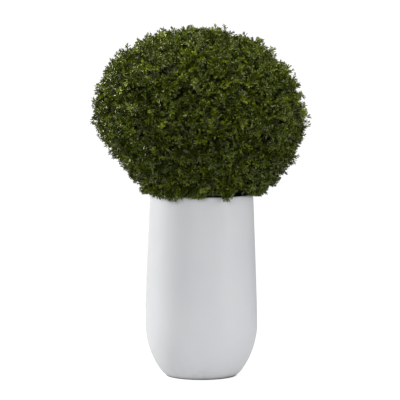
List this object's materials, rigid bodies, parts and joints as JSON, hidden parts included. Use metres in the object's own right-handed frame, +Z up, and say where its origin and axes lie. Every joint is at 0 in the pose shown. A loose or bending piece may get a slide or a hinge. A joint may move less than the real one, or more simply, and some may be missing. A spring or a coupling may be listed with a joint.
{
  "type": "potted box topiary ball",
  "caption": "Evergreen box shrub clipped to a dense, slightly flattened ball, on a short trunk in a tall round planter with a turned-in foot.",
  "frame": {"origin": "centre of the planter's flat underside, on the surface that it stands on", "axes": "+Z up, -Y towards the viewer of the front, +X to that viewer's right"},
  "size_m": [0.684, 0.6889, 1.1196],
  "materials": {
    "planter": "satin",
    "potting_soil": "rough",
    "bark": "rough",
    "box_leaves": "satin"
  },
  "bodies": {
    "root": {"planter": "planter", "potting_soil": "potting_soil", "trunk": "bark", "foliage_ball": "box_leaves"}
  },
  "joints": []
}
